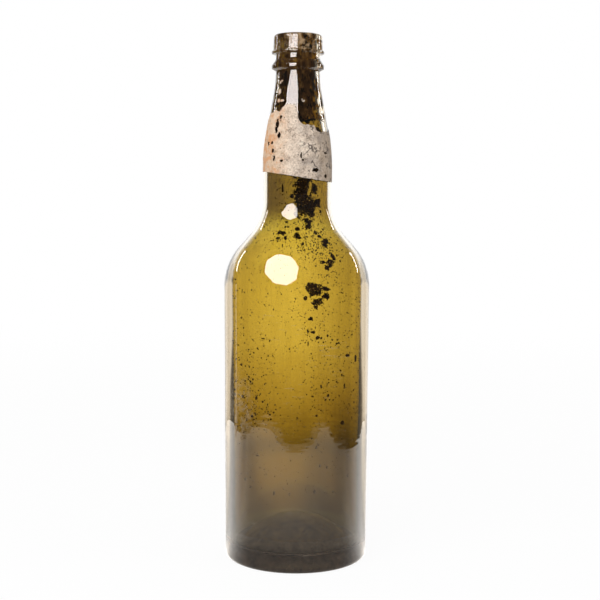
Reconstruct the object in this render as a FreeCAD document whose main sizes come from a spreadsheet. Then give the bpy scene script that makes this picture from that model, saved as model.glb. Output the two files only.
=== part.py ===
# Antique wine bottle: a blown glass vessel with a laid-on lip, a driven cork, the torn skirt of
# a lead foil capsule and the dark crust that its contents left on the inside.
# Units are millimetres. +Z is the bottle's axis, pointing up, and the origin is the centre of
# the plane that it stands on. -Y is the front.

import FreeCAD, Part
import math
import os

import Sketcher

V = FreeCAD.Vector

# Driving dimensions: alias, value, what it is.
SIZES = [
    ("body_radius", 40.0, "outside radius at the shoulder corner"),
    ("heel_inset", 0.7, "how much narrower the body is at the heel"),
    ("body_height", 163.8, "floor to the shoulder corner"),
    ("shoulder_rise", 23.8, "shoulder corner to the root of the neck"),
    ("neck_radius", 18.6, "outside radius of the lower neck"),
    ("neck_length", 38.4, "root of the neck to the top of its straight part"),
    ("taper_length", 36.0, "height of the neck's taper"),
    ("finish_radius", 12.1, "outside radius of the upper neck"),
    ("finish_length", 26.0, "upper neck, from the taper to the rim"),
    ("heel_round", 3.0, "rounding of the heel"),
    ("shoulder_round", 32.0, "rounding of the shoulder"),
    ("flare_round", 27.0, "rounding from the shoulder into the neck"),
    ("bulge_round", 110.0, "rounding from the straight neck into its taper"),
    ("inner_bulge_round", 55.0, "the same inside the neck"),
    ("throat_round", 60.0, "rounding from the taper into the upper neck"),
    ("heel_wall", 5.4, "wall at the heel"),
    ("shoulder_wall", 4.2, "wall at the shoulder"),
    ("shoulder_lift", 0.5, "how much higher the hollow's shoulder corners lie than the outer ones"),
    ("neck_wall", 1.8, "wall of the lower neck"),
    ("floor_depth", 9.0, "thickness of the floor in the moat round the push-up"),
    ("punt_radius", 28.0, "radius of the push-up where it meets the standing ring"),
    ("punt_height", 16.0, "height of the push-up under the base"),
    ("punt_wall", 7.0, "thickness of the glass over the push-up"),
    ("bore_radius", 9.2, "radius of the mouth and the corkage"),
    ("bore_length", 36.0, "length of the straight bore below the rim"),
    ("lip_cap", 3.0, "glass of the lip band above the end of the neck"),
    ("lip_height", 10.7, "height of the lip band"),
    ("lip_reach", 1.2, "how far the lip band stands out from the neck"),
    ("lip_round", 2.0, "rounding of the lip's outer edge"),
    ("mouth_round", 0.9, "rounding of the mouth's inner edge"),
    ("ledge_reach", 2.2, "how far the ledge under the lip band stands out"),
    ("ledge_height", 1.7, "height of that ledge"),
    ("ring_gap", 2.7, "groove between the lip band and the string ring"),
    ("ring_height", 6.4, "height of the string ring with its flare"),
    ("ring_edge", 1.7, "height of the string ring's outer edge"),
    ("ring_foot", 1.4, "height of the string ring's underside slope"),
    ("ring_reach", 2.2, "how far the string ring stands out from the neck"),
    ("edge_round", 0.5, "rounding of the ledge's and the ring's edges"),
    ("cork_length", 44.0, "length of the cork"),
    ("cork_sink", 1.5, "depth of the cork's top below the rim"),
    ("cork_gap", 0.06, "clearance between the cork and the bore"),
    ("cork_bevel", 0.8, "bevel of the cork's ends"),
    ("foil", 0.4, "thickness of the crumpled foil"),
    ("hem_height", 23.4, "foil's lower edge above the root of the neck"),
    ("hem_tilt", 8.5, "lean of the foil's lower edge in degrees"),
    ("tear_height", 55.5, "middle of the torn edge above the root of the neck"),
    ("tear_lean", 7.5, "how much higher the tear is at the left"),
    ("tear_ragged", 1.3, "size of the tear's jags"),
    ("crust", 0.5, "thickness of the dried crust"),
]

# Places of the foil scraps: across the front, height above the foot of the taper, half size.
SCRAPS = [(-9.4, 35.0, 1.4), (-9.0, 30.8, 1.6), (-6.4, 26.8, 1.2), (2.5, 25.5, 1.0)]

# Places of the crust flakes: across the front, height above the root of the neck, half size.
FLAKES = [
    (9.6, -37.0, 5.4),
    (15.5, -22.0, 3.6),
    (13.0, -9.5, 2.0),
    (10.0, -5.0, 1.8),
    (6.0, -12.5, 1.6),
    (3.2, -10.7, 1.2),
    (-0.8, -7.0, 1.5),
    (-8.0, -7.0, 1.9),
    (11.5, -59.0, 1.4),
    (-22.5, -87.0, 1.8),
]
NECK_PATCH = (4.5, 13.5, 5.6)  # the same, for the crust inside the neck
NECK_PATCH_STRETCH = 2.0  # height of that patch over its width

# Waves that make an edge ragged: how many round the edge, phase, height.
TEAR_WAVES = [(7, 0.6, 1.0), (13, 2.1, 0.7), (23, 0.0, 0.5)]
FLAKE_WAVES = [(3, 0.0, 0.24), (5, 1.2, 0.14)]

TEAR_STEPS = 72  # facets round the torn edge
FLAKE_STEPS = 16  # corners of a scrap or a flake
CLEAR = 5.0  # how far a cutting shape runs past what it cuts
SAME_SPOT = 1e-4  # two places nearer than this are one

doc = FreeCAD.newDocument("antique_bottle")
sheet = doc.addObject("Spreadsheet::Sheet", "dims")


class Size:
    # A dimension as a number and as the expression that gives it from the sheet.
    def __init__(self, value, text):
        self.value = value
        self.text = text

    def join(self, sign, other, value):
        right = other.text if isinstance(other, Size) else str(other)
        return Size(value, f"({self.text} {sign} {right})")

    def __add__(self, other):
        return self.join("+", other, self.value + number(other))

    def __sub__(self, other):
        return self.join("-", other, self.value - number(other))

    def __mul__(self, other):
        return self.join("*", other, self.value * number(other))

    def __truediv__(self, other):
        return self.join("/", other, self.value / number(other))


def number(size):
    if size is None:
        return 0.0
    return size.value if isinstance(size, Size) else size


def fill_sheet():
    for row, (alias, value, meaning) in enumerate(SIZES, start=1):
        sheet.set(f"A{row}", meaning)
        sheet.set(f"B{row}", str(value))
        sheet.setAlias(f"B{row}", alias)
    doc.recompute()


def cell(alias):
    return Size(float(sheet.get(alias)), f"dims.{alias}")


def bind(thing, name, size):
    setattr(thing, name, number(size))
    thing.setExpression(name, size.text)


def part_object(kind, label):
    made = doc.addObject(kind, label)
    made.Label = label
    return made


def turned_body(label, corners):
    # A body turned about Z from straight runs between (radius, height) corners. A third item
    # rounds a corner. None stands for zero: a corner on the axis, or on the floor.
    body = part_object("PartDesign::Body", label)
    sketch = body.newObject("Sketcher::SketchObject", label + "_outline")
    plane = next(o for o in body.Origin.OriginFeatures if o.Role == "XZ_Plane")
    sketch.AttachmentSupport = [(plane, "")]
    sketch.MapMode = "FlatFace"
    draw_outline(sketch, corners)
    turn = body.newObject("PartDesign::Revolution", label + "_turn")
    turn.Profile = sketch
    turn.ReferenceAxis = (sketch, ["V_Axis"])
    turn.Angle = 360
    doc.recompute()
    return body


def draw_outline(sketch, corners):
    # Run number n leaves corner n. It starts and stops short of the corners that are rounded.
    count = len(corners)
    spots = [V(number(corner[0]), number(corner[1]), 0) for corner in corners]
    bends = []
    for here, corner in enumerate(corners):
        rounding = corner[2] if len(corner) > 2 else None
        bends.append(Bend(spots[here - 1], spots[here], spots[(here + 1) % count], rounding))
    for here in range(count):
        run = Part.LineSegment(bends[here].leave, bends[(here + 1) % count].arrive)
        sketch.addGeometry(run, False)
    for here, bend in enumerate(bends):
        held = bend.join(sketch, (here - 1) % count, here)
        for way, axis, size in (("DistanceX", -2, corners[here][0]), ("DistanceY", -1, corners[here][1])):
            if size is None:
                sketch.addConstraint(Sketcher.Constraint("PointOnObject", held, 1, axis))
                continue
            fixed(sketch, Sketcher.Constraint(way, -1, 1, held, 1, size.value), size)


def fixed(sketch, constraint, size):
    index = sketch.addConstraint(constraint)
    sketch.setExpression(f"Constraints[{index}]", size.text)


class Bend:
    # One corner of an outline: sharp, or rounded by an arc that is tangent to both runs.
    def __init__(self, before, spot, after, rounding):
        self.spot = spot
        self.rounding = rounding
        back = (before - spot).normalize()
        ahead = (after - spot).normalize()
        cut = number(rounding) * math.tan((math.pi - back.getAngle(ahead)) / 2)
        self.arrive = spot + back * cut
        self.leave = spot + ahead * cut
        self.turns_left = back.cross(ahead).z < 0
        middle = (back + ahead).normalize()
        self.centre = spot + middle * math.hypot(number(rounding), cut)

    def join(self, sketch, run_in, run_out):
        # Joins the two runs and returns the point that the corner's place is measured to.
        if self.rounding is None:
            sketch.addConstraint(Sketcher.Constraint("Coincident", run_in, 2, run_out, 1))
            return run_out
        ends = [self.arrive - self.centre, self.leave - self.centre]
        start, stop = [math.atan2(end.y, end.x) for end in (ends if self.turns_left else ends[::-1])]
        circle = Part.Circle(self.centre, V(0, 0, 1), self.rounding.value)
        arc = sketch.addGeometry(Part.ArcOfCircle(circle, start, stop), False)
        first, last = (1, 2) if self.turns_left else (2, 1)
        sketch.addConstraint(Sketcher.Constraint("Tangent", run_in, 2, arc, first))
        sketch.addConstraint(Sketcher.Constraint("Tangent", arc, last, run_out, 1))
        fixed(sketch, Sketcher.Constraint("Radius", arc, self.rounding.value), self.rounding)
        point = sketch.addGeometry(Part.Point(self.spot), True)
        sketch.addConstraint(Sketcher.Constraint("PointOnObject", point, 1, run_in))
        sketch.addConstraint(Sketcher.Constraint("PointOnObject", point, 1, run_out))
        return point


def ring_edges(shape, corner):
    # Names of the circular edges that run round Z through a (radius, height) corner.
    names = []
    for index, edge in enumerate(shape.Edges, start=1):
        curve = edge.Curve
        if not isinstance(curve, Part.Circle):
            continue
        off_radius = abs(curve.Radius - number(corner[0]))
        off_height = abs(curve.Center.z - number(corner[1]))
        if max(off_radius, off_height) < SAME_SPOT:
            names.append(f"Edge{index}")
    return names


def ease_corner(body, corner, size, kind="Fillet"):
    # Rounds or bevels the edge that a corner of the outline makes.
    base = body.Tip
    eased = body.newObject("PartDesign::" + kind, f"{body.Label}_{kind.lower()}")
    eased.Base = (base, ring_edges(base.Shape, corner))
    bind(eased, "Radius" if kind == "Fillet" else "Size", size)
    body.Tip = eased
    doc.recompute()


def ball(label, radius, height):
    sphere = part_object("Part::Sphere", label)
    bind(sphere, "Radius", radius)
    sphere.setExpression("Placement.Base.z", height.text)
    return sphere


def combine(kind, label, base, tool):
    made = part_object("Part::" + kind, label)
    made.Base = base
    made.Tool = tool
    doc.recompute()
    return made


def ripple(angle, waves, turn=0.0):
    return sum(high * math.sin(count * angle + phase + turn) for count, phase, high in waves)


def ragged_prism(across, height, half, turn, stretch=1.0):
    # A flake's outline seen from the front, drawn back to the axis: its edge wanders in and out.
    rim = []
    for step in range(FLAKE_STEPS):
        angle = 2 * math.pi * step / FLAKE_STEPS
        out = half * (1 + ripple(angle, FLAKE_WAVES, turn))
        rim.append(V(across + out * math.cos(angle), 0, height + stretch * out * math.sin(angle)))
    face = Part.Face(Part.makePolygon(rim + rim[:1]))
    reach = body_radius.value + CLEAR
    return face.extrude(V(0, -reach, 0))


def prism_group(label, places, base_height, stretch=1.0):
    # The prisms of a group of flakes, joined where they overlap.
    group = part_object("Part::Feature", label)
    shapes = []
    for turn, (across, above, half) in enumerate(places):
        shapes.append(ragged_prism(across, base_height.value + above, half, turn, stretch))
    group.Shape = shapes[0].multiFuse(shapes[1:]) if shapes[1:] else shapes[0]
    return group


def tear_cutter(label):
    # What the tear took away: everything above a ragged line that is higher at the left.
    reach = neck_radius.value + CLEAR
    middle = neck_root.value + tear_height.value
    top = total_height.value
    low, high = [], []
    for step in range(TEAR_STEPS):
        angle = 2 * math.pi * step / TEAR_STEPS
        jags = tear_ragged.value * ripple(angle, TEAR_WAVES)
        edge = middle - tear_lean.value * math.cos(angle) + jags
        rim = V(reach * math.cos(angle), reach * math.sin(angle), 0)
        low.append(rim + V(0, 0, edge))
        high.append(rim + V(0, 0, top))
    centre = V(0, 0, middle)
    faces = [Part.Face(Part.makePolygon(high + high[:1]))]
    for step in range(TEAR_STEPS):
        after = (step + 1) % TEAR_STEPS
        faces.append(Part.Face(Part.makePolygon([centre, low[after], low[step], centre])))
        wall = [low[step], low[after], high[after], high[step], low[step]]
        faces.append(Part.Face(Part.makePolygon(wall)))
    cutter = part_object("Part::Feature", label)
    cutter.Shape = Part.Solid(Part.Shell(faces))
    return cutter


fill_sheet()
body_radius = cell("body_radius")
neck_radius = cell("neck_radius")
finish_radius = cell("finish_radius")
bore_radius = cell("bore_radius")
foil = cell("foil")
crust = cell("crust")
tear_height = cell("tear_height")
tear_lean = cell("tear_lean")
tear_ragged = cell("tear_ragged")

# Heights up the axis.
shoulder = cell("body_height")
neck_root = shoulder + cell("shoulder_rise")
taper_foot = neck_root + cell("neck_length")
taper_top = taper_foot + cell("taper_length")
total_height = taper_top + cell("finish_length")
neck_end = total_height - cell("lip_cap")
bore_end = total_height - cell("bore_length")
heel_radius = body_radius - cell("heel_inset")

# The push-up is part of a ball that meets the standing ring and rises to its height.
punt_radius = cell("punt_radius")
punt_height = cell("punt_height")
punt_ball = (punt_radius * punt_radius + punt_height * punt_height) / (punt_height * 2)
punt_centre = punt_height - punt_ball


def outer_glass():
    # The blown shape without its cavity: heel, body, shoulder, neck and push-up.
    corners = [
        (None, None),
        (heel_radius, None, cell("heel_round")),
        (body_radius, shoulder, cell("shoulder_round")),
        (neck_radius, neck_root, cell("flare_round")),
        (neck_radius, taper_foot, cell("bulge_round")),
        (finish_radius, taper_top, cell("throat_round")),
        (finish_radius, neck_end),
        (None, neck_end),
    ]
    body = turned_body("blown_form", corners)
    return combine("Cut", "pushed_up_form", body, ball("push_up", punt_ball, punt_centre))


def cavity_body(label, inset):
    # The hollow inside the glass, drawn in by an inset where a crust lines it.
    floor = cell("floor_depth") + inset
    lift = cell("shoulder_lift")
    shoulder_wall = cell("shoulder_wall")
    neck_wall = cell("neck_wall")
    mouth = total_height + CLEAR
    neck_hollow = neck_radius - neck_wall - inset
    corners = [
        (None, floor),
        (heel_radius - cell("heel_wall") - inset, floor),
        (body_radius - shoulder_wall - inset, shoulder + lift, cell("shoulder_round") - shoulder_wall),
        (neck_hollow, neck_root + lift, cell("flare_round") + neck_wall),
        (neck_hollow, taper_foot, cell("inner_bulge_round")),
        (bore_radius - inset, bore_end, cell("throat_round")),
        (bore_radius - inset, mouth),
        (None, mouth),
    ]
    return turned_body(label, corners)


def lip_band():
    # Gather of glass laid over the sheared end of the neck, with a thin ledge under it.
    bottom = total_height - cell("lip_height")
    ledge_top = bottom + cell("ledge_height")
    ledge_radius = finish_radius + cell("ledge_reach")
    band_radius = finish_radius + cell("lip_reach")
    corners = [
        (finish_radius, bottom),
        (ledge_radius, bottom),
        (ledge_radius, ledge_top),
        (band_radius, ledge_top),
        (band_radius, total_height),
        (bore_radius, total_height),
        (bore_radius, neck_end),
        (finish_radius, neck_end),
    ]
    body = turned_body("lip_band", corners)
    ease_corner(body, corners[1], cell("edge_round"))
    ease_corner(body, corners[2], cell("edge_round"))
    ease_corner(body, corners[4], cell("lip_round"))
    ease_corner(body, corners[5], cell("mouth_round"))
    return body


def string_ring():
    # Second trail of glass below the lip band: flares out to a thin edge, then turns back in.
    top = total_height - cell("lip_height") - cell("ring_gap")
    bottom = top - cell("ring_height")
    edge_bottom = bottom + cell("ring_foot")
    edge_top = edge_bottom + cell("ring_edge")
    reach = finish_radius + cell("ring_reach")
    corners = [(finish_radius, bottom), (reach, edge_bottom), (reach, edge_top), (finish_radius, top)]
    body = turned_body("string_ring", corners)
    ease_corner(body, corners[1], cell("edge_round"))
    ease_corner(body, corners[2], cell("edge_round"))
    return body


def cork():
    # Driven cork, its top a little below the rim.
    top = total_height - cell("cork_sink")
    bottom = top - cell("cork_length")
    radius = bore_radius - cell("cork_gap")
    corners = [(None, bottom), (radius, bottom), (radius, top), (None, top)]
    body = turned_body("cork", corners)
    ease_corner(body, corners[1], cell("cork_bevel"), "Chamfer")
    ease_corner(body, corners[2], cell("cork_bevel"), "Chamfer")
    return body


def below_hem():
    # A leaning drum whose top face is the clean lower edge of the foil.
    drum = part_object("Part::Cylinder", "below_hem")
    depth = cell("hem_height") * 2
    tilt = cell("hem_tilt")
    level = neck_root + cell("hem_height")
    bind(drum, "Radius", neck_radius * 2)
    bind(drum, "Height", depth)
    drum.Placement = FreeCAD.Placement(V(0, 0, 0), FreeCAD.Rotation(V(0, 1, 0), tilt.value))
    drum.setExpression("Placement.Rotation.Angle", tilt.text)
    drum.setExpression("Placement.Base.x", f"-{depth.text} * sin({tilt.text})")
    drum.setExpression("Placement.Base.z", f"{level.text} - {depth.text} * cos({tilt.text})")
    return drum


def capsule(glass_form):
    # Lead foil that was smoothed over the neck: the skirt left below the tear, and loose scraps.
    corners = [
        (None, neck_root),
        (neck_radius + foil, neck_root),
        (neck_radius + foil, taper_foot, cell("bulge_round")),
        (finish_radius + foil, taper_top, cell("throat_round")),
        (finish_radius + foil, neck_end),
        (None, neck_end),
    ]
    body = turned_body("foil_form", corners)
    layer = combine("Cut", "foil_layer", body, glass_form)
    hemmed = combine("Cut", "hemmed_foil", layer, below_hem())
    skirt = combine("Cut", "capsule_skirt", hemmed, tear_cutter("torn_away"))
    scraps = combine("Common", "capsule_scraps", layer, prism_group("scrap_outlines", SCRAPS, taper_foot))
    return skirt, scraps


def dried_crust(cavity):
    # Dark crust on the inside of the front wall: a patch in the neck and flakes on the shoulder.
    layer = combine("Cut", "crust_layer", cavity, cavity_body("crust_core", crust))
    patch = prism_group("patch_outline", [NECK_PATCH], neck_root, NECK_PATCH_STRETCH)
    neck = combine("Common", "neck_crust", layer, patch)
    flakes = combine("Common", "shoulder_crust", layer, prism_group("flake_outlines", FLAKES, neck_root))
    return neck, flakes


glass_form = outer_glass()
hollow = cavity_body("hollow", Size(0.0, "0"))
floor_dome = ball("floor_dome", punt_ball + cell("punt_wall"), punt_centre)
cavity = combine("Cut", "cavity", hollow, floor_dome)
glass = combine("Cut", "bottle_glass", glass_form, cavity)
skirt, scraps = capsule(glass_form)
neck_crust, shoulder_crust = dried_crust(cavity)
sub_parts = [glass, lip_band(), string_ring(), cork(), skirt, scraps, neck_crust, shoulder_crust]
doc.recompute()

for thing in doc.Objects:
    if {"Invalid", "Error"} & set(thing.State):
        raise RuntimeError(f"{thing.Label} failed: {thing.State}")
for sub_part in sub_parts:
    shape = sub_part.Shape
    if shape.isNull() or not shape.isValid() or not shape.Solids:
        raise RuntimeError(f"{sub_part.Label} has no valid solid")

os.makedirs("parts", exist_ok=True)
for sub_part in sub_parts:
    shape = sub_part.Shape
    shape.exportStep(f"parts/{sub_part.Label}.step")
    print(f"{sub_part.Label}: {len(shape.Solids)} solids, {shape.Volume:.1f} mm3, {shape.BoundBox}")
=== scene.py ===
import bisect
import math
import random

import bmesh
import bpy
from mathutils import Matrix, Vector, noise


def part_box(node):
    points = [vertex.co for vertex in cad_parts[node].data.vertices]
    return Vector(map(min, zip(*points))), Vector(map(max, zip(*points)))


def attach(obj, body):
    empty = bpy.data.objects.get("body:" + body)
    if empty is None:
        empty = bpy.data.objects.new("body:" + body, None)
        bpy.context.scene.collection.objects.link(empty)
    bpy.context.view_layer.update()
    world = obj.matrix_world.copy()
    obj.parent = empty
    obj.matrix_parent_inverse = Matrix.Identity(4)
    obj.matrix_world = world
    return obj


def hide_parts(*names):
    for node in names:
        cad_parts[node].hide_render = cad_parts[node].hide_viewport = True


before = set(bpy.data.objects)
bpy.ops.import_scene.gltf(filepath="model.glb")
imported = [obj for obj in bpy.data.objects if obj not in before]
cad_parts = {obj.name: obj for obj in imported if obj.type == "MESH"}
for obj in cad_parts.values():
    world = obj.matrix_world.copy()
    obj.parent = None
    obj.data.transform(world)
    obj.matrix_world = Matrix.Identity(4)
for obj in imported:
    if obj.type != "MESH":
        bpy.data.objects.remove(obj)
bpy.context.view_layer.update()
mm = 0.001
scene = bpy.context.scene
scene.view_settings.view_transform = "Standard"
scene.cycles.max_bounces = 24
scene.cycles.transmission_bounces = 24  # two walls, the cork and back again
scene.cycles.transparent_max_bounces = 24
print("frame loaded:", ", ".join(sorted(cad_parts)))


# shader sums: wire * 2 + other adds the Math nodes, node() adds any other
class Wire:
    def __init__(self, tree, socket=None):
        self.tree = tree
        self.socket = socket

    def node(self, kind, settings, sockets, output=0):
        made = self.tree.nodes.new("ShaderNode" + kind)
        for name, value in settings.items():
            if name == "stops":
                elements = made.color_ramp.elements
                elements.remove(elements[1])
                elements[0].position, elements[0].color = value[0]
                for position, colour in value[1:]:
                    elements.new(position).color = colour
            else:
                setattr(made, name, value)
        for name, value in sockets.items():
            if isinstance(value, Wire):
                self.tree.links.new(value.socket, made.inputs[name])
            else:
                made.inputs[name].default_value = value
        return Wire(self.tree, made.outputs[output]) if made.outputs else None

    def also(self, output):
        return Wire(self.tree, self.socket.node.outputs[output])

    def maths(self, operation, first, second=0.0):
        return self.node("Math", {"operation": operation}, {0: first, 1: second})

    def most(self, other):
        return self.maths("MAXIMUM", self, other)

    def __add__(self, other):
        return self.maths("ADD", self, other)

    def __sub__(self, other):
        return self.maths("SUBTRACT", self, other)

    def __rsub__(self, other):
        return self.maths("SUBTRACT", other, self)

    def __mul__(self, other):
        return self.maths("MULTIPLY", self, other)

    def __truediv__(self, other):
        return self.maths("DIVIDE", self, other)

    __radd__ = __add__
    __rmul__ = __mul__


def tone(red, green, blue):  # screen colour, 0 to 255, as a socket's linear colour
    linear = [((part / 255 + 0.055) / 1.055) ** 2.4 for part in (red, green, blue)]
    return (*linear, 1.0)


def grey(level):
    return (level, level, level, 1.0)


def newMaterial(name):
    material = bpy.data.materials.new(name)
    material.use_nodes = True
    material.node_tree.nodes.clear()
    return material, Wire(material.node_tree)


def addObject(bm, name, material):
    mesh = bpy.data.meshes.new(name)
    bm.to_mesh(mesh)
    bm.free()
    mesh.materials.append(material)
    added = bpy.data.objects.new(name, mesh)
    scene.collection.objects.link(added)
    return added


def softStep(value, low, high, start=0.0, end=1.0):
    limits = {"Value": value, "From Min": low, "From Max": high, "To Min": start, "To Max": end}
    return value.node("MapRange", {"interpolation_type": "SMOOTHSTEP"}, limits)


def blendColour(factor, first, second):
    return factor.node("Mix", {"data_type": "RGBA"}, {0: factor, 6: first, 7: second}, 2)


def blendShader(factor, first, second):
    return factor.node("MixShader", {}, {0: factor, 1: first, 2: second})


def ramp(value, *stops):
    return value.node("ValToRGB", {"stops": stops}, {"Fac": value})


def grain(place, scale, detail=3.0, rough=0.55, stretch=(1, 1, 1)):
    if stretch != (1, 1, 1):
        place = place.node("Mapping", {}, {"Vector": place, "Scale": stretch})
    sockets = {"Vector": place, "Scale": scale, "Detail": detail, "Roughness": rough}
    return place.node("TexNoise", {}, sockets)


def specksOf(place, scale, size, share):  # scattered dots, one in some of the cells
    cells = place.node("TexVoronoi", {}, {"Vector": place, "Scale": scale})
    lot = place.node("SeparateColor", {}, {"Color": cells.also("Color")}, "Red")
    ragged = grain(place, scale * 3, 2.0) * 0.25 - 0.125
    dots = softStep(cells + ragged, size * 0.6, size, 1.0, 0.0)
    return dots * lot.maths("LESS_THAN", lot, share)


def axisOf(place, name):
    return place.node("SeparateXYZ", {}, {"Vector": place}, name)


def vectorMaths(operation, first, second):
    return first.node("VectorMath", {"operation": operation}, {0: first, 1: second})


def lengthOf(place):
    return place.node("VectorMath", {"operation": "LENGTH"}, {0: place}, "Value")


def coarseFinish(shade, colour, rough, relief, depth, strength, metallic=0.0):
    bump = shade.node("Bump", {}, {"Strength": strength, "Distance": depth, "Height": relief})
    finish = shade.node("BsdfPrincipled", {}, {
        "Base Color": colour, "Roughness": rough, "Metallic": metallic, "Normal": bump})
    shade.node("OutputMaterial", {}, {"Surface": finish})


# camera at the photograph's viewing angle
photoView = {
    "away": 672.5 * mm,
    "height": 204 * mm,
    "aside": 1.8 * mm,
    "tiltDown": 5.15,
    "roll": 0.31,
    "focalPixels": 1220,
    "framePixels": 600,
    "sensor": 36.0,
}


def placeCamera():
    cameraData = bpy.data.cameras.new("photoCamera")
    cameraData.sensor_width = photoView["sensor"]
    cameraData.lens = photoView["sensor"] * photoView["focalPixels"] / photoView["framePixels"]
    camera = bpy.data.objects.new("photoCamera", cameraData)
    scene.collection.objects.link(camera)
    stand = Matrix.Translation((photoView["aside"], -photoView["away"], photoView["height"]))
    tilt = Matrix.Rotation(math.radians(90 - photoView["tiltDown"]), 4, "X")
    roll = Matrix.Rotation(math.radians(photoView["roll"]), 4, "Z")
    camera.matrix_world = stand @ tilt @ roll
    scene.camera = camera


placeCamera()
print("camera placed")


# white room: a bright sheet behind the bottle, the rest dim in reflections
whiteRoom = {
    "sheetEdge": (0.72, 0.85, 0.06, 0.92),  # cosines of the ways to it, glow of room and sheet
    "sheetWithin": 0.12,  # how much wider it looks from within the glass
    "upperGlow": 1.28,  # brighter higher up: pale rims of shoulder and neck
    "ambient": 0.36,
}


def rayKinds(shade):
    camera = shade.node("LightPath", {}, {}, "Is Camera Ray")
    sharp = 1 - camera.maths("MINIMUM", camera.also("Diffuse Depth"), 1.0)
    mirrored = sharp * camera.maths("MINIMUM", camera.also("Glossy Depth"), 1.0)
    through = sharp * camera.also("Is Transmission Ray") * (1 - mirrored)
    entered = camera.maths("MINIMUM", camera.also("Transmission Depth"), 1.0)
    return camera, mirrored, through, entered


def sheetGlow(place, entered):  # the sheet as reflections see it from the bottle
    way = place.node("VectorMath", {"operation": "NORMALIZE"}, {0: place})
    towards = axisOf(way, "Y") + entered * whiteRoom["sheetWithin"]
    return softStep(towards, *whiteRoom["sheetEdge"])


def hangRoom():
    world = bpy.data.worlds.new("whiteRoom")
    scene.world = world
    world.use_nodes = True
    world.node_tree.nodes.clear()
    shade = Wire(world.node_tree)
    camera, mirrored, through, entered = rayKinds(shade)
    towards = shade.node("TexCoord", {}, {}, "Generated")
    rest = 1 - camera - through - mirrored
    upperSheet = sheetGlow(towards, entered) * whiteRoom["upperGlow"]
    glow = camera + through + mirrored * upperSheet + rest * whiteRoom["ambient"]
    background = shade.node("Background", {}, {"Color": grey(1.0), "Strength": glow})
    shade.node("OutputWorld", {}, {"Surface": background})


# pale floor, seen white; gloss sees a bright table on it, glass the bottle's own shade behind
paleFloor = {
    "half": 4.0,
    "under": 0.05 * mm,
    "dull": 0.8,
    "white": (0.95, 1.0),  # near the bottle and far off
    "whiteFrom": (0.2, 1.2),
    "tableMiddle": -30 * mm,
    "tableHalf": (348 * mm, 332 * mm),
    "tableCorners": (175 * mm, 105 * mm),  # left and right
    "cornerBlend": 50 * mm,
    "edgeBlur": 1.5 * mm,
    "glow": (1.0, 0.96, 0.91, 1.0),
    "deepGlow": (1.0, 0.82, 0.45, 1.0),  # the shade as glass sees it, warmer where it is deep
    "deepFrom": (0.34, 1.1),
    "sideGlow": 0.72,
    "frontGlow": 1.0,
    "frontFrom": (50 * mm, 220 * mm),
    "backLift": 1.9,  # what the back adds where it is lit past the bottle
    "liftFrom": (-0.25, 0.5),  # as a sine, from the side round to the back
    "liftFade": (0.55, 0.9, 1.0, 0.32),
    "liftShift": 22 * mm,
    "glowSlope": 0.5,  # lighter to the left
    "wideFrom": (0.45, 1.0),  # sheet wider from within the glass
    "upperFrom": (2.0, 3.5),
    "heelShade": (41 * mm, 60 * mm, 0.95),  # outside gloss close to the foot
    "frontShade": (43 * mm, 110 * mm, 0.03),  # what glass sees in front
    "rimShade": (100 * mm, 500 * mm, 0.4),  # what the rim throws back from behind
    "behindFrom": (-10 * mm, 30 * mm),
    "shadeReach": 1.4,
    "shadeFall": [(0.03, 0.03), (0.07, 0.08), (0.12, 0.142), (0.17, 0.157), (0.195, 0.128), (0.213, 0.132),
                  (0.235, 0.205), (0.27, 0.335), (0.36, 0.60), (0.47, 0.78), (0.63, 0.95), (1.0, 1.0)],
    "poolSide": (-0.34, -0.10, 0.12),  # lighter pool in the shade, as a slope to the side
    "poolReach": (0.2, 0.4),
    "poolLift": 0.75,
    "dimSide": (0.02, 0.22, 0.28),  # and darker to the right of it
    "dimReach": (0.15, 0.75),
}


def tableGlow(across, along, far, entered):  # where the table lies, and its glow
    halfWide, halfDeep = paleFloor["tableHalf"]
    offMiddle = across - paleFloor["tableMiddle"]
    blend = paleFloor["cornerBlend"]
    corner = softStep(offMiddle, -blend, blend, *paleFloor["tableCorners"])
    pastSide = (across.maths("ABSOLUTE", offMiddle) - halfWide + corner).most(0.0)
    pastEnd = (across.maths("ABSOLUTE", along) - halfDeep + corner).most(0.0)
    pastEdge = across.maths("SQRT", pastSide * pastSide + pastEnd * pastEnd) - corner
    onTable = softStep(pastEdge, -paleFloor["edgeBlur"], paleFloor["edgeBlur"], 1.0, 0.0)
    glow = softStep(0.0 - along, *paleFloor["frontFrom"], paleFloor["sideGlow"], paleFloor["frontGlow"])
    turned = (along + paleFloor["liftShift"]) / far
    lift = softStep(turned, *paleFloor["liftFrom"]) * softStep(turned, *paleFloor["liftFade"])
    return onTable, glow - across * paleFloor["glowSlope"] + lift * (1 - entered) * paleFloor["backLift"]


def shadeBehind(across, along, far, behind):  # deepest close to the glass
    stops = [(position, grey(level)) for position, level in paleFloor["shadeFall"]]
    left, middle, right = paleFloor["poolSide"]
    aside = across / along.most(mm)
    pool = softStep(aside, left, middle) * softStep(aside, middle, right, 1.0, 0.0)
    pool = pool * softStep(far, *paleFloor["poolReach"], 1.0, 0.0)
    low, high, dimming = paleFloor["dimSide"]
    dim = softStep(aside, low, high, 0.0, dimming) * softStep(far, *paleFloor["dimReach"], 1.0, 0.0)
    shaded = ramp(far / paleFloor["shadeReach"], *stops)
    return shaded * (1 + pool * behind * paleFloor["poolLift"]) * (1 - dim * behind)


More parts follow.
